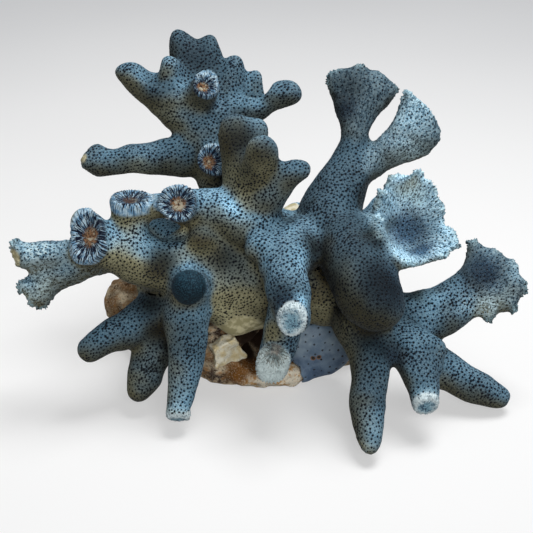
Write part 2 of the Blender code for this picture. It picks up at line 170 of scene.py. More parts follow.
# Cut tips: the same, but flat, how clearly rays show on the break and how far up they start.
CUT_TIPS = (
    ("front_finger", (0.58, 0.02, 0.59), (-0.1, -0.2, 1.0), (4.3, 5.6), -10, 0.0, 0.0, 0.2),
    ("front_finger", (0.32, 0.12, 0.16), (-0.2, -0.5, 0.9), (5.2, 6.8), -15, 0.0, 0.6, 0.7, 1.1),
    ("front_left_finger", (0.35, 0.1, 0.04), (0.0, -1.0, 0.25), (4.4, 4.0), 0, 0.0, 0.2, 0.2),
    ("low_right_finger", (0.76, 0.02, 0.14), (0.1, -0.7, 0.7), (4.2, 4.2), 0, 0.0, 0.1, 0.2),
)
# The cup: the same, for the bowl that bends the whole fan.
CUP_BOWL = ("cup_fan", (0.62, 0.52, 0.48), (0.25, 0.2, 1.0), (14.0, 15.5), 0, 6.5, 0.0)

# Marks: for each kind, how soft its border is and, node by node, where in the box and the radius in mm.
SKIN_MARKS = {
    "khaki": (0.7, {"front_finger": [(0.3, 0.2, 0.4, 8)]}),
    "pale": (0.8, {
        "low_right_finger": [(0.76, 0.04, 0.2, 8.5), (0.92, 0.45, 0.6, 5)],
        "front_left_finger": [(0.35, 0.04, 0.08, 7)],
        "front_finger": [(0.32, 0.12, 0.18, 9)],
        "right_fan": [(0.32, 0.14, 0.25, 13), (0.8, 0.3, 0.3, 11)],
        "low_far_finger": [(0.95, 0.4, 0.1, 5)],
        "left_arm_end": [(0.3, 0.2, 0.7, 11)],
        "left_fork_tip": [(0.1, 0.3, 0.3, 8)],
        "front_right_finger": [(0.5, 0.1, 0.05, 8)],
        "crown_left_arm": [(0.05, 0.2, 0.6, 8)],
        "cup_fan": [(0.15, 0.25, 0.4, 7)],
    }),
    "bare": (0.35, {
        "crown_left_arm": [(0.0, 0.15, 0.75, 3.2), (0.02, 0.1, 0.3, 2.2)],
        "left_arm_end": [(0.02, 0.2, 0.6, 4)],
        "back_middle_branch": [(0.76, 0.78, 0.8, 4)],
        "trunk": [(0.46, 0.08, 0.05, 10), (0.38, 0.08, 0.0, 10), (0.44, 0.05, 0.12, 9)],
    }),
    "dark": (0.12, {"front_left_finger": [(0.55, 0.45, 0.95, 8)]}),
    # Deep: dark navy, partly the coral's own dark patches and partly painted shade in the cup's bowl and
    # other recesses.
    "deep": (0.8, {
        "cup_fan": [(0.6, 0.62, 0.36, 12), (0.68, 0.3, 0.25, 8)],
        "right_fan": [(0.35, 0.4, 0.7, 12)],
        "front_finger": [(0.45, 0.08, 0.74, 8)],
        "club": [(0.75, 0.2, 0.5, 13)],
        "low_right_finger": [(0.45, 0.4, 0.6, 8)],
        "upper_arm": [(0.55, 0.1, 0.7, 5)],
        "tall_fan": [(0.2, 0.4, 0.5, 8)],
    }),
    # Painted brown shade where limbs lie closed in between their neighbours.
    "brown_shade": (0.9, {
        "club": [(0.62, 0.52, 0.9, 7), (0.25, 0.3, 0.5, 10)],
        "trunk": [(0.27, 0.14, 0.91, 9), (0.36, 0.12, 0.72, 9)],
        "left_arm": [(0.7, 0.27, 0.37, 9)],
        "centre_finger": [(0.32, 0.56, 0.82, 12)],
        "front_right_finger": [(0.57, 0.6, 0.85, 9)],
        "low_left_finger": [(0.75, 0.3, 0.4, 10), (0.66, 0.5, 0.85, 8)],
        "front_finger": [(0.87, 0.65, 0.87, 8)],
    }),
    # Painted shade: these spots are darkened where the limbs lie in shadow.
    "painted_shade": (0.9, {
        "left_arm": [(0.7, 0.27, 0.37, 9)],
        "low_left_finger": [(0.75, 0.3, 0.4, 9), (0.66, 0.5, 0.85, 12)],
        "club": [(0.62, 0.52, 0.9, 10), (0.75, 0.14, 0.6, 14)],
        "centre_finger": [(0.32, 0.56, 0.82, 12), (0.72, 0.05, 0.91, 7)],
        "crown_back_lobes": [(0.47, 0.52, 0.6, 14)],
        "tall_fan": [(0.25, 0.6, 0.7, 12)],
        "front_finger": [(0.44, 0.21, 0.75, 9), (0.87, 0.65, 0.87, 10)],
        "front_left_finger": [(0.5, 0.34, 0.57, 12)],
        "trunk": [(0.4, 0.14, 0.72, 14)],
        "cup_fan": [(0.72, 0.48, 0.42, 9)],
        "crown_left_frond": [(0.42, 0.53, 0.66, 9)],
        "front_right_finger": [(0.77, 0.57, 0.76, 9)],
    }),
    # Painted light: these spots are made lighter where the limbs look more strongly lit.
    "bright": (0.9, {
        "cup_fan": [(0.3, 0.3, 0.55, 8), (0.6, 0.6, 0.8, 11)],
        "right_fan": [(0.5, 0.5, 0.95, 8), (0.9, 0.5, 0.75, 8), (0.32, 0.14, 0.25, 13)],
        "front_finger": [(0.32, 0.12, 0.1, 8), (0.77, 0.48, 0.82, 9), (0.72, 0.13, 0.71, 4.5)],
        "front_left_finger": [(0.35, 0.02, 0.05, 9)],
        "front_right_finger": [(0.62, 0.04, 0.1, 6), (0.74, 0.13, 0.27, 10)],
        "upper_arm": [(0.65, 0.32, 0.7, 9)],
        "left_fork_tip": [(0.16, 0.09, 0.48, 12)],
        "trunk": [(0.37, 0.03, 0.3, 11), (0.2, 0.29, 0.86, 8)],
        "side_fan": [(0.65, 0.66, 0.79, 13), (0.57, 0.3, 0.35, 9)],
        "low_right_finger": [(0.76, 0.02, 0.22, 8)],
        "right_arm": [(0.58, 0.35, 0.7, 11)],
        "centre_finger": [(0.75, 0.08, 0.71, 7)],
        "crown_left_arm": [(0.48, 0.13, 0.35, 11)],
        "club": [(0.87, 0.3, 0.64, 8)],
    }),
}
STONE_MARKS = {
    "cream": (0.5, {"stone": [(0.66, 0.01, 0.12, 10), (0.57, 0.02, 0.08, 7), (0.14, 0.2, 0.7, 10)]}),
    "amber": (0.6, {"stone": [(0.55, 0.09, 0.28, 9), (0.5, 0.06, 0.22, 7)]}),
    # Hollow: where painted shade lies near black inside the stone's cavity.
    "hollow": (0.5, {
        "stone": [(0.52, 0.17, 0.33, 7), (0.48, 0.15, 0.45, 6), (0.5, 0.08, 0.74, 6),
            (0.54, 0.06, 0.66, 6), (0.58, 0.29, 0.36, 8)],
    }),
    "stain": (0.7, {
        "stone": [(0.42, 0.06, 0.7, 7), (0.46, 0.03, 0.19, 5), (0.42, 0.05, 0.13, 8),
            (0.1, 0.3, 0.45, 6)],
    }),
}
# Pulls: the node, where in the node's box, the radius in mm, which way (across, rise, nearer) and how
# many mm. The first is the trunk's smooth lower lip, which hangs over the stone.
PULLS = (
    ("trunk", (0.41, 0.1, 0.04), 14.0, (0.0, -1.0, 0.0), 5.0),
    ("cup_fan", (0.15, 0.3, 0.45), 8.0, (-0.4, -0.2, 1.0), 4.5),
    ("cup_fan", (0.45, 0.1, 0.1), 8.0, (0.0, -0.5, 0.8), 3.0),
    ("tall_fan", (0.05, 0.6, 0.85), 9.0, (-0.8, 0.4, 0.0), 3.5),
    ("left_arm_end", (0.0, 0.5, 1.0), 6.0, (-0.5, 0.8, 0.0), 4.0),
    ("left_fork_tip", (0.0, 0.4, 0.8), 5.0, (-1.0, 0.2, 0.0), 4.0),
    ("left_fork_tip", (0.3, 0.3, 0.0), 5.0, (-0.2, -1.0, 0.0), 4.0),
    ("crown_left_arm", (0.12, 0.4, 0.85), 5.0, (0.0, 1.0, 0.0), 1.6),
    ("crown_left_arm", (0.14, 0.4, 0.2), 5.0, (0.0, -1.0, 0.0), 1.2),
    ("crown_left_arm", (0.3, 0.4, 0.9), 5.0, (0.0, -1.0, 0.0), 1.2),
    ("crown_left_frond", (0.36, 0.7, 0.81), 6.5, (0.2, -1.0, -0.2), 4.5),
    ("crown_left_frond", (0.65, 0.68, 0.78), 5.0, (0.2, -0.6, -0.8), 3.0),
    ("crown_right_fingers", (0.32, 0.6, 0.73), 6.5, (0.1, -1.0, -0.3), 5.0),
    ("crown_right_fingers", (0.52, 0.5, 0.61), 6.5, (0.0, -1.0, -0.3), 5.0),
    ("crown_right_fingers", (0.32, 0.33, 0.6), 4.5, (0.0, 0.0, -1.0), 2.0),
    ("crown_right_fingers", (0.51, 0.25, 0.56), 4.5, (0.0, 0.0, -1.0), 2.0),
)
# Tints: how much warmer and how much lighter each limb is than the plain blue coral; the lightness is partly
# the limb's own tone and partly painted light and shade for how lit the limb looks.
TINTS = {
    "trunk": (0.6, -0.1),
    "centre_finger": (0.6, -0.65),
    "centre_side_finger": (0.1, -0.7),
    "upper_arm": (0.1, -0.2),
    "left_arm": (0.55, -0.05),
    "left_arm_end": (-0.1, -0.3),
    "left_fork_tip": (0.1, -0.5),
    "low_left_finger": (0.0, -0.8),
    "low_middle_finger": (0.35, -0.7),
    "front_left_finger": (-0.05, -0.3),
    "front_finger": (-0.2, -0.4),
    "front_right_finger": (0.3, -0.95),
    "crown_stem": (0.2, -0.45),
    "crown_left_arm": (0.0, -0.75),
    "crown_left_frond": (0.1, -0.45),
    "crown_back_lobes": (0.0, -1.15),
    "crown_right_fingers": (0.0, -0.65),
    "fan_stem": (-0.15, -1.05),
    "tall_fan": (-0.05, -0.9),
    "side_fan": (-0.05, -0.5),
    "cup_fan": (-0.2, 0.2),
    "right_fan": (0.2, -0.85),
    "right_arm": (-0.1, -0.6),
    "club": (0.2, -1.3),
    "low_right_finger": (-0.15, -0.6),
    "low_far_finger": (-0.1, -0.55),
}

# How much lighter a mark of painted light makes the skin, and how much darker a mark of painted shade, in
# steps of light.
MARK_LIGHT = 0.75
# How many times lighter a limb is for each whole step of its light.
LIGHT_STEP = 3.2

SHELL_NODES = ("stone", "blue_crust", "shell_chip")
CRUST_HOLES = ((0.34, 0.07, 0.48), (0.42, 0.07, 0.5), (0.9, 0.3, 0.6))
# Fans: the node, how strongly its rim is ruffled and where in its box its rays start.
FANS = {
    "tall_fan": (0.25, (0.25, 0.5, -0.3)),
    "side_fan": (0.3, (0.1, 0.5, 0.0)),
    "right_fan": (0.6, (-0.2, 0.5, 0.1)),
    "cup_fan": (1.0, (0.5, 0.5, 0.45)),
    "left_arm_end": (0.9, (1.3, 0.5, 0.4)),
    "left_fork_tip": (0.8, (1.3, 0.5, 1.1)),
}


def clear_startup():
    """Takes away the objects that a new file starts with."""
    for obj in list(bpy.data.objects):
        bpy.data.objects.remove(obj)


def add_object(name, data):
    """Puts a mesh, a camera or a lamp in the scene as an object."""
    obj = bpy.data.objects.new(name, data)
    bpy.context.scene.collection.objects.link(obj)
    return obj


def welded(nodes):
    """One mesh of the nodes' faces, its vertices welded and its sharp edges creased."""
    joined = bmesh.new()
    for node in nodes:
        joined.from_mesh(frame["nodes"][node].data)
    bmesh.ops.remove_doubles(joined, verts=joined.verts, dist=WELD)
    crease = joined.edges.layers.float.new("crease_edge")
    for edge in joined.edges:
        edge[crease] = 1.0 if edge.calc_face_angle(0.0) > CREASE_ANGLE else 0.0
    mesh = bpy.data.meshes.new("welded")
    joined.to_mesh(mesh)
    joined.free()
    return mesh


def modified(mesh, steps):
    """The mesh after a list of modifiers, each a type and its settings."""
    obj = add_object("working", mesh)
    for kind, settings in steps:
        step = obj.modifiers.new(kind, kind)
        for setting, value in settings.items():
            setattr(step, setting, value)
    bpy.context.view_layer.update()
    evaluated = obj.evaluated_get(bpy.context.evaluated_depsgraph_get())
    result = bpy.data.meshes.new_from_object(evaluated)
    bpy.data.objects.remove(obj)
    return result


def subdivide(levels):
    """A step that splits each face smoothly, some times over."""
    return ("SUBSURF", {"levels": levels, "render_levels": levels})


def swell(by):
    """A step that moves the surface out by a distance."""
    return ("DISPLACE", {"strength": by, "mid_level": 0.0})


def remesh(voxel):
    """A step that rebuilds the surface as even quads."""
    return ("REMESH", {"mode": "VOXEL", "voxel_size": voxel})


def smooth(times):
    """A step that evens out the surface."""
    return ("SMOOTH", {"iterations": times})


def fused(nodes):
    """One closed smooth skin over the nodes, with fillets where limbs meet."""
    steps = [
        subdivide(2),
        swell(SEAM_GAP),
        remesh(FUSE_VOXEL),
        smooth(3),
        swell(FILLET),
        remesh(FUSE_VOXEL),
        swell(-FILLET),
        remesh(FUSE_VOXEL),
        smooth(4),
    ]
    return modified(welded(nodes), steps)


def read_rows(rows, key, width, kind=np.float32):
    """Some numbers of each row, as an array."""
    flat = np.empty(len(rows) * width, kind)
    rows.foreach_get(key, flat)
    return flat.reshape(-1, width)


def points_of(mesh):
    """The mesh's vertices as an array."""
    return read_rows(mesh.vertices, "co", 3).astype(float)


def normals_of(mesh):
    """The mesh's vertex normals as an array."""
    return read_rows(mesh.vertex_normals, "vector", 3).astype(float)


def neighbours(mesh):
    """The two ends of each edge, as arrays."""
    return read_rows(mesh.edges, "vertices", 2, np.int32).T


def move_points(mesh, points):
    """Puts the mesh's vertices at new places."""
    mesh.vertices.foreach_set("co", points.astype(np.float32).ravel())
    mesh.update()


def grain(points, size, seed=0.0):
    """Smooth noise from -1 to 1 at each point, with grains of a size."""
    scaled = (points / size + seed).tolist()
    return np.array([noise.noise(point) for point in scaled])


def ramp(values, low, high):
    """0 below low, 1 above high and a smooth step between."""
    t = np.clip((values - low) / (high - low), 0.0, 1.0)
    return t * t * (3.0 - 2.0 * t)


def seen(across, rise, nearer):
    """A direction given as the viewer sees it."""
    return np.array((ACROSS * across + RISE * rise + NEARER * nearer).normalized())


def place_in(box, at):
    """A place inside a box, each part of it from 0 to 1."""
    low, high = box
    return Vector([low[axis] + at[axis] * (high[axis] - low[axis]) for axis in range(3)])


def spot(node, at):
    """A place inside a node's box."""
    return np.array(place_in(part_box(node), at))


def tree_of(meshes):
    """A search tree of the meshes' faces, and which mesh each face belongs to."""
    corners = []
    faces = []
    belongs = []
    for index, mesh in enumerate(meshes):
        start = len(corners)
        corners.extend(vertex.co.copy() for vertex in mesh.vertices)
        faces.extend([start + corner for corner in face.vertices] for face in mesh.polygons)
        belongs.extend([index] * len(mesh.polygons))
    return bvhtree.BVHTree.FromPolygons(corners, faces), belongs


def owners(points, nodes):
    """The index of the node nearest to each point."""
    tree, belongs = tree_of([frame["nodes"][node].data for node in nodes])
    return np.array([belongs[tree.find_nearest(point)[2]] for point in points.tolist()])


def openness(points, normals, blockers, furthest):
    """How much of the view above each point is free of the blockers, from 0 to 1."""
    tree, _ = tree_of(blockers)
    dice = np.random.default_rng(3)
    spots = dice.choice(len(points), min(SHADE_SPOTS, len(points)), replace=False)
    rays = dice.normal(size=(len(spots), SHADE_RAYS, 3))
    rays /= np.linalg.norm(rays, axis=2)[:, :, None]
    rays += normals[spots][:, None, :] * SHADE_LEAN
    starts = points[spots] + normals[spots] * SHADE_START
    near = kdtree.KDTree(len(spots))
    free = np.empty(len(spots))
    for row, start in enumerate(starts.tolist()):
        near.insert(points[spots[row]], row)
        hits = sum(tree.ray_cast(start, ray, furthest)[0] is not None for ray in rays[row].tolist())
        free[row] = 1.0 - hits / SHADE_RAYS
    near.balance()
    return free[[near.find(point)[1] for point in points.tolist()]]


class Tip:
    """The flat frame of an open or cut tip: its centre, its axes and its half sizes."""

    def __init__(self, node, at, facing, size, turn, depth, rust, rays=1.0, lift=0.0):
        self.node = node
        self.centre = spot(node, at)
        self.out = seen(*facing)
        side = np.array(ACROSS) - self.out * np.dot(np.array(ACROSS), self.out)
        side /= np.linalg.norm(side)
        up = np.cross(self.out, side)
        angle = math.radians(turn)
        self.side = side * math.cos(angle) + up * math.sin(angle)
        self.up = np.cross(self.out, self.side)
        self.size = np.array(size) * MM
        self.depth = depth * MM
        self.rust = rust
        self.rays = rays
        self.lift = lift

    def local(self, points):
        """The points as parts of the half sizes, how far out they lie (1 at the rim) and their height."""
        away = points - self.centre
        flat = np.stack([away @ self.side / self.size[0], away @ self.up / self.size[1]], axis=1)
        return flat, np.hypot(flat[:, 0], flat[:, 1]), away @ self.out

    def seat(self, points):
        """Moves the centre out to the top of the limb's end."""
        _, reach, height = self.local(points)
        near = (reach < 0.6) & (np.abs(height) < self.size.max())
        self.centre = self.centre + self.out * height[near].max()


def dish(points, tip):
    """Opens a domed end into a shallow dish with a round flared rim, or cuts it flat."""
    _, reach, height = tip.local(points)
    radius = tip.size.mean()
    near = ramp(-height, 1.8 * radius, 0.9 * radius) * ramp(reach, 1.6, 1.25) * (height < 0.3 * radius)
    flare = TIP_FLARE * near * ramp(-height, 1.3 * radius, 0.2 * radius)
    away = points - tip.centre
    flat_away = away - np.outer(away @ tip.out, tip.out)
    points = points + flat_away * flare[:, None]
    hollow = tip.depth * np.clip(1.0 - (reach / 0.72) ** 2, 0.0, 1.0)
    floor = -TIP_DROP * radius - hollow - TIP_ROUND * radius * ramp(reach, 0.75, 1.1)
    press = near * ramp(reach, 1.08, 0.84) * (height > -0.95 * radius)
    return points + np.outer(press * (floor - height), tip.out)


def bowl(points, tip, share):
    """Bends a fan into a bowl: its middle and the stem behind go back and its rim comes forward."""
    _, reach, height = tip.local(points)
    behind = ramp(height, *BOWL_STEM) * (reach < 1.0)
    bend = tip.depth * (np.clip(reach, 0.0, 1.2) ** 2 - BOWL_STILL)
    bend *= np.where(bend < 0.0, np.maximum(share, behind), share)
    return points + np.outer(bend, tip.out)


def share_of(owner, nodes, values, ends, times):
    """A value for each node, spread over the skin and blended at the forks."""
    table = np.array([values.get(node, 0.0) for node in nodes])
    return relaxed(table[owner][:, None], ends, times)[:, 0]


def tint_of(owner, nodes, ends, which):
    """The tint of each vertex: 0 for how warm, 1 for how light."""
    return share_of(owner, nodes, {node: tint[which] for node, tint in TINTS.items()}, ends, 60)


def build_form(nodes):
    """The fused skin with its lumps, ruffles and open tips, and the tips."""
    mesh = fused(nodes)
    points = points_of(mesh)
    ends = neighbours(mesh)
    owner = owners(points, nodes)
    lumps = LUMP_HEIGHT * grain(points, LUMP_SIZE) + KNOB_HEIGHT * grain(points, KNOB_SIZE, 21.0)
    fan = share_of(owner, nodes, {node: ruffle for node, (ruffle, _) in FANS.items()}, ends, 8)
    rim = ramp(((points - relaxed(points, ends, 12)) * normals_of(mesh)).sum(1), 0.1 * MM, 0.7 * MM)
    waves = sum(height * grain(points, size * MM, seed) for size, height, seed in RUFFLE_WAVES)
    ruffle = fan * (0.25 + rim) * waves
    points = points + normals_of(mesh) * (lumps + ruffle * MM)[:, None]
    cup = Tip(*CUP_BOWL)
    points = bowl(points, cup, share_of(owner, nodes, {"cup_fan": 1.0}, ends, 12))
    for node, at, radius, way, distance in PULLS:
        away = np.linalg.norm(points - spot(node, at), axis=1) / (radius * MM)
        share = ramp(away, 1.0, 0.2) * (owner == nodes.index(node))
        share = relaxed(share[:, None], ends, 6)[:, 0]
        points = points + np.outer(distance * MM * share, seen(*way))
    tips = [Tip(*facts) for facts in OPEN_TIPS + CUT_TIPS]
    for tip in tips:
        tip.seat(points[owner == nodes.index(tip.node)])
        points = dish(points, tip)
    move_points(mesh, points)
    return mesh, tips


def relaxed(values, ends, times):
    """The values, one row a vertex, averaged with their neighbours some times."""
    first, second = ends
    count = len(values)
    degree = np.bincount(first, minlength=count) + np.bincount(second, minlength=count)
    for _ in range(times):
        total = np.empty_like(values)
        for column in range(values.shape[1]):
            line = values[:, column]
            total[:, column] = np.bincount(first, weights=line[second], minlength=count)
            total[:, column] += np.bincount(second, weights=line[first], minlength=count)
        values = 0.5 * values + 0.5 * total / degree[:, None]
    return values


def pore_fields(points, spacing, radius):
    """Where each vertex lies from its nearest pore and how far that is, both in pore radii."""
    tree = kdtree.KDTree(len(points))
    rows = points.tolist()
    for number, point in enumerate(rows):
        tree.insert(point, number)
    tree.balance()
    order = list(range(len(rows)))
    dice = random.Random(7)
    dice.shuffle(order)
    sizes = radius * np.random.default_rng(5).uniform(*PORE_SIZES, len(rows))
    pore = np.full(len(rows), -1)
    away = np.full(len(rows), NO_PORE)
    for number in order:
        if pore[number] >= 0 or spacing[number] <= 0.0:
            continue
        clear = spacing[number] * dice.uniform(*PORE_ROOM)
        for _, other, distance in tree.find_range(rows[number], clear):
            parts = distance / sizes[number]
            if parts < away[other]:
                away[other] = parts
                pore[other] = number
    offset = (points - points[pore]) / sizes[pore][:, None]
    offset[pore < 0] = NO_PORE
    return offset, away


def set_field(mesh, name, values):
    """Stores one number a vertex, or three, under a name."""
    kind, key = ("FLOAT", "value") if values.ndim == 1 else ("FLOAT_VECTOR", "vector")
    layer = mesh.attributes.new(name, kind, "POINT")
    layer.data.foreach_set(key, values.astype(np.float32).ravel())


def tip_fields(points, tips):
    """The frame of the nearest tip at each point, how far the point is inside it, its rust and flutes."""
    disc = np.zeros((len(points), 3))
    rust, cut, flutes = np.zeros((3, len(points)))
    for tip in tips:
        flat, reach, height = tip.local(points)
        radius = tip.size.mean()
        inside = ramp(reach, 1.3, 1.1) * ramp(-height, 0.95 * radius, 0.7 * radius) * (height < 0.5 * radius)
        mine = inside > disc[:, 2]
        disc[mine, :2] = flat[mine] - (0.0, tip.lift)
        disc[mine, 2] = inside[mine] * tip.rays
        rust[mine] = tip.rust * inside[mine]
        if tip.depth == 0.0:
            cut = np.maximum(cut, inside)
        angle = np.arctan2(flat[:, 1], flat[:, 0])
        wave = np.cos(38 * angle + 3.0 * np.sin(3 * angle))
        flutes += inside * ramp(reach, 0.1, 0.6) * wave * (1.0 + tip.lift)
    return disc, rust, cut, flutes


def mark_field(points, soft, places):
    """How strongly each point is inside one of a kind's marks."""
    field = np.zeros(len(points))
    for node, marks in places.items():
        for *at, radius in marks:
            distance = np.linalg.norm(points - spot(node, at), axis=1) / (radius * MM)
            field = np.maximum(field, ramp(distance, 1.0, 1.0 - soft))
    return field


def tone_fields(points, normals, ends, blockers, owner, nodes):
    """How warm, light, closed in, turned down and raised each vertex is; light, closed in and turned down
    feed painted light and shade.
    """
    raised = ((points - relaxed(points, ends, 40)) * normals).sum(1)
    broad = relaxed(normals, ends, 30)
    broad /= np.linalg.norm(broad, axis=1)[:, None]
    warm = -broad @ seen(0.45, 0.9, 0.0) + tint_of(owner, nodes, ends, 0)
    # Painted light: skin that faces up and to the front is made lighter.
    facing = broad @ seen(-0.1, 1.0, 0.3)
    free = relaxed(openness(points, normals, blockers, SHADE_REACH)[:, None], ends, 16)[:, 0]
    crease = ramp(-raised, 0.1 * MM, 0.8 * MM)
    return {
        "warm": ramp(warm + 0.3 * grain(points, 7 * MM, 3.0), -0.3, 1.0),
        "light": tint_of(owner, nodes, ends, 1) + 0.3 * grain(points, 10 * MM, 17.0) + 0.3 * facing,
        # Painted shade: closed-in and creased skin, and skin that faces down, is darkened.
        "shade": np.maximum(ramp(free, 0.8, 0.2), 0.6 * crease),
        "under": ramp(-broad @ seen(0.1, 1.0, 0.0), 0.0, 0.9),
        "edge": ramp(raised, 0.2 * MM, 0.45 * MM),
    }


def add_fan_rays(disc, points, owner, nodes):
    """Adds the fans' rays to the tips' frames, where there is no tip."""
    for node, (_, start) in FANS.items():
        mine = (owner == nodes.index(node)) & (disc[:, 2] == 0.0)
        away = (points[mine] - spot(node, start)) / FAN_SIZE
        disc[mine, 0] = away @ np.array(ACROSS)
        disc[mine, 1] = away @ np.array(RISE)


def relief(points, fields, flutes):
    """How far frayed rims, flutes and grit push the skin out."""
    fan, edge = fields["fan"], fields["edge"]
    fine = grain(points, 1.3 * MM, 31.0)
    grit = grain(points, 0.7 * MM, 57.0)
    rough = np.maximum(fan * (0.3 + 0.8 * edge), 0.5 * fields["pale"])
    rough = np.maximum(rough, fields["cut"] * (0.25 + 0.9 * edge))
    rough = np.maximum(rough, 0.6 * fields["bare"] * (points[:, 2] > LIP_TOP))
    fringe = fan * edge * FRINGE * (0.6 - 3.0 * np.abs(grain(points, 1.0 * MM, 77.0)))
    return fringe + flutes * 0.2 * MM + rough * (0.5 * fine + 0.3 * grit) * MM + 0.05 * MM * grit


def pitted(points, fields, disc):
    """The frame of each vertex's pore, how far off the pore is, and how deep the vertex sinks."""
    warm = fields["warm"]
    plain = fields["fan"] * (0.5 + 0.5 * fields["edge"])
    spacing = PORE_SPACING * (1.0 + 0.25 * grain(points, 9 * MM, 11.0) - 0.1 * warm + 0.3 * plain)
    bald = np.maximum(np.maximum(fields["bare"], fields["dark"]), fields["cut"])
    spacing[(disc[:, 2] > 0.15) | (bald > 0.4)] = 0.0
    radius = PORE_RADIUS * (1.0 - 0.12 * warm - 0.35 * plain)
    pore, well = pore_fields(points, spacing, radius)
    return pore, well, PORE_DEPTH * ramp(well, 1.5, 0.0) * (1.0 - 0.6 * plain)


def build_skin(nodes):
    """The coral's skin with its pores, who owns each vertex, and the fields that its material reads."""
    form, tips = build_form(nodes)
    blockers = [form] + [frame["nodes"][node].data for node in SHELL_NODES]
    mesh = modified(form.copy(), [remesh(SKIN_VOXEL), smooth(2)])
    points = points_of(mesh)
    normals = normals_of(mesh)
    ends = neighbours(mesh)
    owner = owners(points, nodes)
    fields = tone_fields(points, normals, ends, blockers, owner, nodes)
    fields["fan"] = share_of(owner, nodes, dict.fromkeys(FANS, 1.0), ends, 25)
    disc, fields["rust"], fields["cut"], flutes = tip_fields(points, tips)
    add_fan_rays(disc, points, owner, nodes)
    marks = {kind: mark_field(points, *facts) for kind, facts in SKIN_MARKS.items()}
    fields["warm"] = np.maximum(fields["warm"], marks.pop("khaki"))
    # Marks of painted brown shade deepen the shade; marks of painted light and painted shade make the skin
    # lighter or darker.
    fields["shade"] = np.maximum(fields["shade"], 0.9 * marks.pop("brown_shade"))
    fields["light"] += MARK_LIGHT * (marks.pop("bright") - marks.pop("painted_shade"))
    fields.update(marks)
    pore, fields["well"], sink = pitted(points, fields, disc)
    push = relief(points, fields, flutes) - sink
    move_points(mesh, points + normals * push[:, None])
    fields.update(disc=disc, pore=pore)
    return mesh, owner, fields


class Nodes:
    """Builds a material's node tree with short calls."""

    def __init__(self, name):
        self.material = bpy.data.materials.new(name)
        self.material.use_nodes = True
        self.tree = self.material.node_tree
        self.shader = self.tree.nodes["Principled BSDF"]

    def add(self, kind, **settings):
        """Adds a node of a kind with its settings."""
        node = self.tree.nodes.new(kind)
        for setting, value in settings.items():
            setattr(node, setting, value)
        return node

    def link(self, start, end):
        """Joins an output to an input."""
        self.tree.links.new(start, end)

    def feed(self, socket, value):
        """Links an output to an input, or sets the input to a constant."""
        if hasattr(value, "links"):
            self.link(value, socket)
        else:
            socket.default_value = value

    def field(self, name, output="Fac"):
        """Reads a field that the mesh stores at its vertices."""
        return self.add("ShaderNodeAttribute", attribute_name=name).outputs[output]

    def place(self):
        """The place of each spot on the object."""
        return self.add("ShaderNodeTexCoord").outputs["Object"]

    def math(self, operation, first, second=0.5, clamp=False):
        """One operation on two values."""
        node = self.add("ShaderNodeMath", operation=operation, use_clamp=clamp)
        self.feed(node.inputs[0], first)
        self.feed(node.inputs[1], second)
        return node.outputs[0]

    def times(self, first, second):
        """The product of two values."""
        return self.math("MULTIPLY", first, second)

    def plus(self, first, second):
        """The sum of two values."""
        return self.math("ADD", first, second)

    def surface(self, **values):
        """Sets or feeds the shader's inputs, with _ for a space in their names."""
        for name, value in values.items():
            self.feed(self.shader.inputs[name.replace("_", " ")], value)

    def noise(self, size, detail=2.0, vector=None, roughness=0.5):
        """Noise from about 0 to 1, with grains of a size in metres."""
        node = self.add("ShaderNodeTexNoise")
        node.inputs["Scale"].default_value = 1.0 / size
        node.inputs["Detail"].default_value = detail
        node.inputs["Roughness"].default_value = roughness
        self.link(vector or self.place(), node.inputs["Vector"])
        return node.outputs["Fac"]

    def step(self, value, low, high):
        """0 below low, 1 above high and a smooth step between."""
        node = self.add("ShaderNodeMapRange", interpolation_type="SMOOTHSTEP")
        self.feed(node.inputs["Value"], value)
        node.inputs["From Min"].default_value = low
        node.inputs["From Max"].default_value = high
        return node.outputs["Result"]

    def bumped(self, height, distance, strength):
        """Gives the surface a fine relief."""
        node = self.add("ShaderNodeBump")
        node.inputs["Strength"].default_value = strength
        node.inputs["Distance"].default_value = distance
        self.link(height, node.inputs["Height"])
        self.link(node.outputs["Normal"], self.shader.inputs["Normal"])

    def scaled(self, value, by):
        """A colour made lighter or darker."""
        node = self.add("ShaderNodeVectorMath", operation="SCALE")
        self.feed(node.inputs[0], value)
        self.feed(node.inputs["Scale"], by)
        return node.outputs[0]

    def mix(self, amount, first, second, blend="MIX"):
        """Mixes two colours, each an output or a screen colour."""
        node = self.add("ShaderNodeMix", data_type="RGBA", blend_type=blend)
        self.feed(node.inputs["Factor"], amount)
        for name, value in (("A", first), ("B", second)):
            self.feed(node.inputs[name], colour(*value) if isinstance(value, tuple) else value)
        return node.outputs["Result"]


def colour(red, green, blue):
    """A colour written as it looks on a screen, from 0 to 255, as the shader takes it."""
    channels = [value / 255 for value in (red, green, blue)]
    linear = [c / 12.92 if c <= 0.04045 else ((c + 0.055) / 1.055) ** 2.4 for c in channels]
    return (*linear, 1.0)


def tip_frame(m):
    """How far out each spot lies on its tip, how surely it is on one, and a place to grow rays from."""
    parts = m.add("ShaderNodeSeparateXYZ")
    m.link(m.field("disc", "Vector"), parts.inputs[0])
    across, up, inside = parts.outputs
    squares = m.plus(m.times(across, across), m.times(up, up))
    reach = m.math("SQRT", m.plus(squares, 0.0001))
    ring = m.add("ShaderNodeCombineXYZ")
    m.link(m.math("DIVIDE", across, reach), ring.inputs[0])
    m.link(m.math("DIVIDE", up, reach), ring.inputs[1])
    m.link(m.times(reach, 0.22), ring.inputs[2])
    return reach, inside, ring.outputs[0]


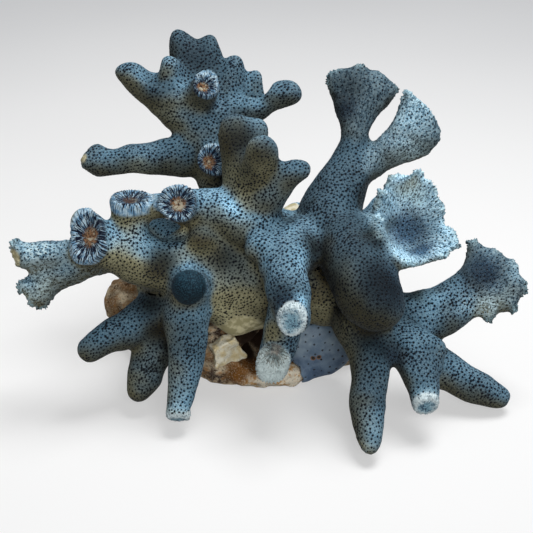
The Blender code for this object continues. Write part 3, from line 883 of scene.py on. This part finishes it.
def limb_colour(m, patches, mottle, speck):
    """Blue or khaki limbs with pale veins and pale edges."""
    vein = m.math("ABSOLUTE", m.math("SUBTRACT", m.noise(1.0 * MM, 1.0), 0.5))
    patchy = m.step(patches, 0.36, 0.64)
    blue = m.mix(patchy, (30, 75, 109), (86, 140, 174))
    khaki = m.mix(patchy, (108, 106, 78), (158, 152, 114))
    pale = m.mix(m.field("warm"), (142, 180, 200), (168, 166, 134))
    base = m.mix(m.field("warm"), blue, khaki)
    wall = m.times(m.step(m.field("well"), 1.2, 1.8), m.step(m.field("well"), 8.0, 5.0))
    base = m.mix(m.times(wall, m.times(m.step(speck, 0.35, 0.6), 0.9)), base, pale)
    base = m.mix(m.times(m.step(vein, 0.06, 0.0), 0.7), base, pale)
    base = m.mix(m.times(m.step(speck, 0.54, 0.68), 0.5), base, pale)
    base = m.mix(m.times(m.step(speck, 0.48, 0.36), 0.5), base, (14, 28, 44))
    # Raised edges are paler: partly the coral's pale rims, partly a painted highlight on ridges.
    edge = m.times(m.field("edge"), m.step(mottle, 0.3, 0.6))
    base = m.mix(m.times(edge, 0.5), base, (166, 192, 204))
    dark = m.mix(m.step(speck, 0.45, 0.65), (10, 30, 42), (50, 88, 106))
    return m.mix(m.field("dark"), base, dark)


def fan_colour(m, base, grit, ring):
    """Pale fibres over the fans and the bleached ends, thickest at their rims."""
    fibre = m.noise(0.03, vector=ring, roughness=0.6)
    fluff = m.plus(m.times(fibre, 0.6), m.times(grit, 0.4))
    amount = m.times(m.field("fan"), m.plus(m.field("edge"), 0.5))
    amount = m.math("MAXIMUM", amount, m.field("pale"), clamp=True)
    base = m.mix(m.times(m.field("fan"), m.step(fluff, 0.5, 0.4)), base, m.scaled(base, 0.4))
    return m.mix(m.times(amount, m.step(fluff, 0.46, 0.56)), base, (190, 216, 224))


def painted_light_and_shade(m, base):
    """Painted light and shade: limbs made lighter or darker by their light, and painted brown shade where
    they are closed in or face down.
    """
    base = m.scaled(base, m.math("POWER", LIGHT_STEP, m.field("light")))
    brown_shade = m.mix(1.0, base, (116, 98, 68), "MULTIPLY")
    # Painted shade: closed-in and downward-facing skin is darkened towards brown.
    closed = m.math("MAXIMUM", m.field("shade"), m.times(m.field("under"), 0.45))
    return m.mix(m.times(closed, 0.9), base, brown_shade)


def broken_colour(m, base, grit, mottle, reach):
    """Cream where the skin is bare and sparkling crumbs where a tip is broken."""
    out = m.plus(reach, m.times(m.math("SUBTRACT", mottle, 0.5), 1.6))
    bright = m.mix(m.step(out, 0.3, 1.1), (132, 178, 200), (224, 240, 245))
    grains = m.plus(grit, m.times(mottle, 0.6))
    crumbs = m.mix(m.step(grains, 0.64, 0.8), (36, 76, 106), bright)
    crumbs = m.mix(m.times(m.field("edge"), 0.7), crumbs, (228, 242, 246))
    base = m.mix(m.field("cut"), base, crumbs)
    clouds = m.step(m.noise(2.5 * MM, 3.0), 0.4, 0.6)
    cream = m.mix(clouds, (200, 190, 150), (242, 236, 210))
    khaki = m.mix(clouds, (172, 164, 124), (222, 214, 174))
    bare = m.mix(m.field("warm"), cream, khaki)
    return m.mix(m.field("bare"), base, bare)


def flower_colour(m, base, mottle, grit, reach, inside, rays):
    """Open tips: dark and pale rays around a rusty heart."""
    spread = m.plus(rays, m.times(m.math("SUBTRACT", reach, 0.75), 0.25))
    furrow = m.mix(m.field("cut"), (10, 20, 42), (104, 98, 74))
    crest = m.mix(m.step(mottle, 0.4, 0.6), (116, 158, 190), (190, 216, 230))
    crest = m.mix(m.field("cut"), crest, (212, 228, 226))
    petal = m.mix(m.step(spread, 0.46, 0.56), furrow, crest)
    heart = m.mix(m.step(grit, 0.4, 0.54), (44, 32, 28), (164, 122, 84))
    heart = m.mix(m.step(mottle, 0.5, 0.6), heart, (214, 204, 178))
    core = m.plus(reach, m.times(mottle, 0.5))
    petal = m.mix(m.times(m.step(core, 0.7, 0.48), m.field("rust")), petal, heart)
    return m.mix(inside, base, petal)


def pores(m):
    """The dark round pores."""
    length = m.add("ShaderNodeVectorMath", operation="LENGTH")
    m.link(m.field("pore", "Vector"), length.inputs[0])
    ragged = m.times(m.noise(0.5 * MM, 1.0), 0.9)
    round_off = m.plus(m.math("SUBTRACT", length.outputs["Value"], 0.45), ragged)
    reach = m.math("MAXIMUM", round_off, m.math("SUBTRACT", m.field("well"), 0.3))
    return m.step(reach, 1.15, 0.85)


def coral_material():
    """Velvety blue coral: khaki undersides, pale rims, dark pores and rust-hearted open tips."""
    m = Nodes("coral_skin")
    patches = m.noise(12 * MM)
    mottle = m.noise(1.5 * MM, 3.0, roughness=0.6)
    grit = m.noise(0.5 * MM, roughness=0.6)
    speck = m.noise(0.4 * MM, roughness=0.7)
    reach, inside, ring = tip_frame(m)
    rays = m.noise(0.056, vector=ring, roughness=0.6)

    base = limb_colour(m, patches, mottle, speck)
    base = fan_colour(m, base, grit, ring)
    # Deep marks: dark navy, partly the coral's own dark patches and partly painted shade in the cup's bowl
    # and other recesses.
    navy = m.mix(m.step(speck, 0.45, 0.65), (8, 26, 52), (56, 96, 128))
    base = m.mix(m.times(m.field("deep"), 0.85), base, navy)
    base = painted_light_and_shade(m, base)
    frost = m.times(m.times(m.field("fan"), m.field("edge")), m.step(grit, 0.4, 0.6))
    base = m.mix(m.times(frost, 0.7), base, (150, 186, 198))
    base = broken_colour(m, base, grit, mottle, reach)
    base = flower_colour(m, base, mottle, grit, reach, inside, rays)
    pore = pores(m)
    base = m.mix(m.times(m.step(m.field("well"), 1.7, 0.8), 0.25), base, (16, 26, 36))
    base = m.mix(m.times(pore, 0.96), base, (6, 10, 17))

    m.surface(
        Base_Color=base,
        Roughness=m.plus(m.times(speck, 0.3), 0.62),
        Specular_IOR_Level=0.18,
        Sheen_Weight=0.08,
        Sheen_Roughness=0.35,
        Sheen_Tint=(0.7, 0.85, 1.0, 1.0),
    )
    height = m.plus(speck, m.times(rays, m.times(inside, 2.0)))
    m.bumped(m.math("SUBTRACT", height, m.times(pore, 1.5)), 0.2 * MM, 0.8)
    return m.material


def refined(node, steps, coarse, grains, seed):
    """A node's mesh made fine and weathered."""
    mesh = modified(welded([node]), steps)
    points = points_of(mesh)
    push = sum(height * grain(points, size, seed + size / MM) for size, height in grains)
    move_points(mesh, points + normals_of(mesh) * (push * MM)[:, None])
    return modified(mesh, [remesh(coarse), smooth(1)])


def hollow_fields(mesh):
    """Stores how open and how raised each vertex of the mesh is."""
    points = points_of(mesh)
    normals = normals_of(mesh)
    ends = neighbours(mesh)
    raised = ((points - relaxed(points, ends, 20)) * normals).sum(1)
    blockers = [obj.data for obj in frame["nodes"].values()]
    free = relaxed(openness(points, normals, blockers, HOLLOW_REACH)[:, None], ends, 6)[:, 0]
    set_field(mesh, "shade", ramp(free, 0.7, 0.1))
    set_field(mesh, "edge", ramp(raised, -0.15 * MM, 0.35 * MM))


def finish_node(node, mesh, material):
    """Puts a finished mesh in the place of its node."""
    mesh.shade_smooth()
    mesh.materials.append(material)
    piece = add_object(node + "_finish", mesh)
    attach(piece, "root")
    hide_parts(node)


def stone_material():
    """Weathered matrix: cream and tan patches, brown stains and a dark hollow, with painted shade in the
    hollow and the recesses.
    """
    m = Nodes("weathered_stone")
    patches = m.noise(7 * MM, 3.0)
    stains = m.noise(2.6 * MM, 3.0, roughness=0.65)
    speck = m.noise(0.6 * MM, roughness=0.7)
    base = m.mix(m.step(patches, 0.42, 0.6), (168, 134, 96), (228, 210, 178))
    base = m.mix(m.step(stains, 0.48, 0.34), base, (92, 62, 38))
    base = m.mix(m.times(m.step(stains, 0.56, 0.66), 0.6), base, (198, 134, 70))
    base = m.mix(m.times(m.field("stain"), m.step(stains, 0.6, 0.4)), base, (62, 46, 38))
    cream = m.mix(m.step(stains, 0.36, 0.5), (220, 170, 108), (252, 242, 220))
    base = m.mix(m.field("cream"), base, cream)
    base = m.mix(m.field("amber"), base, (150, 98, 40))
    # Painted shade: recesses below the raised parts are darker.
    base = m.mix(m.field("edge"), m.scaled(base, 0.6), base)
    base = m.mix(m.times(m.step(speck, 0.45, 0.35), 0.5), base, (70, 50, 34))
    base = m.mix(m.times(m.step(speck, 0.55, 0.68), 0.5), base, (240, 230, 206))
    # Painted shade: near black in the stone's hollow and dark brown where it is closed in.
    base = m.mix(m.field("hollow"), base, (34, 20, 8))
    base = m.mix(m.step(m.field("shade"), 0.5, 1.0), base, (58, 36, 14))
    m.surface(Base_Color=base, Roughness=0.85, Specular_IOR_Level=0.25)
    m.bumped(m.plus(speck, stains), 0.35 * MM, 0.8)
    return m.material


def crust_material():
    """Smooth slate-blue crust with soft clouds, few pores and rusty holes."""
    m = Nodes("slate_crust")
    clouds = m.noise(6 * MM, 3.0)
    speck = m.noise(0.45 * MM, roughness=0.7)
    cloudy = m.step(clouds, 0.35, 0.65)
    low = m.mix(cloudy, (44, 70, 104), (92, 118, 146))
    high = m.mix(cloudy, (96, 116, 134), (150, 166, 176))
    # Painted light: the crust is lighter towards its top and darker towards its bottom.
    base = m.mix(m.field("height"), low, high)
    base = m.mix(m.times(m.step(speck, 0.5, 0.7), 0.2), base, (150, 164, 172))
    base = m.mix(m.times(m.field("edge"), 0.35), base, (128, 150, 170))
    base = m.mix(m.step(m.field("rust"), 0.1, 0.5), base, (122, 88, 62))
    base = m.mix(m.step(m.field("rust"), 0.6, 0.9), base, (20, 18, 18))
    base = m.mix(m.step(m.field("cup"), 0.2, 0.6), base, (14, 18, 26))
    m.surface(Base_Color=base, Roughness=m.plus(m.times(clouds, 0.3), 0.4), Specular_IOR_Level=0.35)
    m.bumped(m.plus(speck, clouds), 0.12 * MM, 0.5)
    return m.material


def chip_material():
    """Cream flake whose hollows are darkened to a yellowish cream with painted shade."""
    m = Nodes("cream_flake")
    clouds = m.noise(2.8 * MM, 3.0)
    speck = m.noise(0.5 * MM, roughness=0.7)
    base = m.mix(m.step(clouds, 0.38, 0.62), (236, 218, 170), (255, 250, 228))
    # Painted shade: the hollows between raised ridges are darker.
    base = m.mix(m.field("edge"), m.scaled(base, 0.8), base)
    base = m.mix(m.times(m.step(speck, 0.42, 0.32), 0.5), base, (120, 92, 56))
    m.surface(Base_Color=base, Roughness=0.7, Specular_IOR_Level=0.3)
    m.bumped(m.plus(speck, clouds), 0.2 * MM, 0.6)
    return m.material


def build_stone():
    """The weathered stone with its rough skin."""
    steps = [remesh(STONE_VOXEL), smooth(2)]
    mesh = refined("stone", steps, STONE_VOXEL, ((5 * MM, 0.9), (2.0 * MM, 0.55), (0.9 * MM, 0.25)), 2.0)
    # Its relief must not reach below the flat cut that it stands on.
    points = points_of(mesh)
    points[:, 2] = np.maximum(points[:, 2], CAD_BOX[0][2])
    move_points(mesh, points)
    hollow_fields(mesh)
    for kind, facts in STONE_MARKS.items():
        set_field(mesh, kind, mark_field(points_of(mesh), *facts))
    finish_node("stone", mesh, stone_material())


def build_crust():
    """The smooth skin of young coral, with a few pores and rusty holes."""
    steps = [subdivide(2), swell(0.3 * MM), remesh(0.5 * MM), smooth(4)]
    mesh = refined("blue_crust", steps, 0.4 * MM, ((5 * MM, 0.45), (2.5 * MM, 0.12)), 4.0)
    hollow_fields(mesh)
    points = points_of(mesh)
    whole = np.ones(len(points))
    _, well = pore_fields(points, CRUST_SPACING * whole, PORE_RADIUS * whole)
    cup = ramp(well, 1.6, 0.6)
    rust = np.zeros(len(points))
    for at in CRUST_HOLES:
        distance = np.linalg.norm(points - spot("blue_crust", at), axis=1)
        rust = np.maximum(rust, ramp(distance, 1.2 * MM, 0.6 * MM))
    move_points(mesh, points - normals_of(mesh) * ((cup + rust) * 0.3 * MM)[:, None])
    set_field(mesh, "cup", cup)
    set_field(mesh, "rust", rust)
    set_field(mesh, "height", ramp(points[:, 2], points[:, 2].min(), points[:, 2].max()))
    finish_node("blue_crust", mesh, crust_material())


def build_chip():
    """The square flake of shell with crinkled edges."""
    steps = [subdivide(2), remesh(0.35 * MM), smooth(1)]
    mesh = refined("shell_chip", steps, 0.3 * MM, ((4.0 * MM, 1.1), (2.0 * MM, 0.6), (0.9 * MM, 0.2)), 6.0)
    points = points_of(mesh)
    middle = points.mean(axis=0)
    move_points(mesh, middle + (points - middle) * CHIP_GROWTH)
    hollow_fields(mesh)
    finish_node("shell_chip", mesh, chip_material())


def build_camera():
    """The camera, aimed at the heart of the colony from the front and above."""
    low, high = CAD_BOX
    data = bpy.data.cameras.new("camera")
    data.lens = LENS
    data.clip_start = 0.01
    data.clip_end = 20.0
    camera = add_object("camera", data)
    camera.location = place_in(CAD_BOX, AIM) + NEARER * DISTANCE * (high[0] - low[0])
    camera.rotation_euler = (math.radians(90) - LOOK_DOWN, 0.0, 0.0)
    bpy.context.scene.camera = camera


def add_lamp(name, direction, distance, size, watts):
    """A soft square lamp that shines at the colony's middle from a direction."""
    low, high = CAD_BOX
    middle = (low + high) / 2
    data = bpy.data.lights.new(name, "AREA")
    data.size = size
    data.energy = watts
    lamp = add_object(name, data)
    lamp.location = middle + Vector(direction).normalized() * distance
    lamp.rotation_euler = Vector(direction).to_track_quat("Z", "Y").to_euler()


def light_air(tree):
    """The world: weak white light, and the far floor's grey where it is seen."""
    light = tree.nodes["Background"]
    light.inputs["Color"].default_value = (1.0, 1.0, 1.0, 1.0)
    light.inputs["Strength"].default_value = AIR_LIGHT
    seen_air = tree.nodes.new("ShaderNodeBackground")
    seen_air.inputs["Color"].default_value = colour(*FAR_GREY)
    rays = tree.nodes.new("ShaderNodeLightPath")
    blend = tree.nodes.new("ShaderNodeMixShader")
    tree.links.new(rays.outputs["Is Camera Ray"], blend.inputs[0])
    tree.links.new(light.outputs[0], blend.inputs[1])
    tree.links.new(seen_air.outputs[0], blend.inputs[2])
    tree.links.new(blend.outputs[0], tree.nodes["World Output"].inputs["Surface"])


def build_studio():
    """A pale floor, a pale world and soft lamps."""
    floor = bmesh.new()
    bmesh.ops.create_circle(floor, cap_ends=True, segments=96, radius=FLOOR_RADIUS)
    mesh = bpy.data.meshes.new("floor")
    floor.to_mesh(mesh)
    floor.free()
    m = Nodes("floor_paper")
    rays = m.add("ShaderNodeLightPath").outputs
    shown = m.math("MAXIMUM", rays["Is Camera Ray"], rays["Is Glossy Ray"])
    spread = m.add("ShaderNodeVectorMath", operation="LENGTH")
    m.link(m.place(), spread.inputs[0])
    cloudy = m.times(m.noise(0.3), 0.1)
    far = m.step(m.plus(spread.outputs["Value"], cloudy), *FLOOR_FADE)
    paper = m.mix(far, (190, 190, 190), (152, 153, 155))
    m.surface(
        Base_Color=m.mix(shown, FLOOR_BOUNCE, paper),
        Emission_Color=m.mix(far, (242, 242, 242), (196, 197, 199)),
        Emission_Strength=m.times(shown, FLOOR_GLOW),
        Roughness=0.9,
        Specular_IOR_Level=0.1,
    )
    mesh.materials.append(m.material)
    stage = add_object("floor", mesh)
    stage.location.z = -FLOOR_DROP
    world = bpy.data.worlds.new("studio")
    bpy.context.scene.world = world
    world.use_nodes = True
    light_air(world.node_tree)
    for facts in LAMPS:
        add_lamp(*facts)
    bpy.context.scene.view_settings.view_transform = "Standard"


def rims_of(work):
    """The edges that have a face on one side only."""
    return [edge for edge in work.edges if edge.is_boundary]


def islands(count, pairs):
    """For each face, the lowest face that it is joined to by a chain of pairs."""
    lowest = np.arange(count)
    while True:
        fresh = lowest.copy()
        for side in pairs.T:
            np.minimum.at(fresh, side, lowest[pairs].min(axis=1))
        fresh = fresh[fresh]
        if np.array_equal(fresh, lowest):
            return lowest
        lowest = fresh


def without_strays(faces, face_owner):
    """The faces' owners, where a small island of faces gets the owner of the faces around it."""
    ends = np.sort(np.stack([faces, np.roll(faces, -1, axis=1)], axis=2).reshape(-1, 2), axis=1)
    # Sorted by their ends, the closed skin's edges come in twos, four edges to each face.
    pairs = (np.lexsort(ends.T) // 4).reshape(-1, 2)
    alike = face_owner[pairs[:, 0]] == face_owner[pairs[:, 1]]
    island = islands(len(faces), pairs[alike])
    small = np.bincount(island, minlength=len(faces))[island] < STRAY_FACES
    settled = face_owner.copy()
    around = np.full(len(faces), -1)
    for first, second in (pairs.T, pairs.T[::-1]):
        border = small[first] & ~small[second]
        around[island[first[border]]] = face_owner[second[border]]
    moved = small & (around[island] >= 0)
    settled[moved] = around[island[moved]]
    return settled


def close_rims(mesh):
    """Closes a piece across its forks with low cones, which lie inside the limbs."""
    work = bmesh.new()
    work.from_mesh(mesh)
    caps = bmesh.ops.holes_fill(work, edges=rims_of(work), sides=0)["faces"]
    caps += bmesh.ops.edgeloop_fill(work, edges=rims_of(work))["faces"]
    for cap in caps:
        corner = cap.loops[0]
        if corner.link_loop_radial_next.vert == corner.vert:
            cap.normal_flip()
    bmesh.ops.poke(work, faces=caps)
    work.to_mesh(mesh)
    work.free()


def share_out(mesh, owner, nodes, fields, material):
    """Splits the skin among its nodes, each piece closed across its forks."""
    points = points_of(mesh)
    normals = normals_of(mesh)
    faces = read_rows(mesh.loops, "vertex_index", 1, np.int32).reshape(-1, 4)
    votes = np.sort(owner[faces], axis=1)
    face_owner = without_strays(faces, votes[:, 1])
    for index, node in enumerate(nodes):
        mine = faces[face_owner == index]
        used, local = np.unique(mine, return_inverse=True)
        part = bpy.data.meshes.new(node + "_skin")
        part.from_pydata(points[used].tolist(), [], local.reshape(-1, 4).tolist())
        for name, values in fields.items():
            set_field(part, name, values[used])
        close_rims(part)
        part.shade_smooth()
        part.materials.append(material)
        spare = [(0.0, 0.0, 0.0)] * (len(part.vertices) - len(used))
        part.normals_split_custom_set_from_vertices(normals[used].tolist() + spare)
        piece = add_object(node + "_skin", part)
        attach(piece, "root")
        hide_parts(node)


clear_startup()
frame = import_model()
CAD_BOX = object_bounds()
coral_nodes = [node for node in frame["nodes"] if node not in SHELL_NODES]
build_camera()
build_studio()
skin, owner, fields = build_skin(coral_nodes)
share_out(skin, owner, coral_nodes, fields, coral_material())
build_stone()
build_crust()
build_chip()
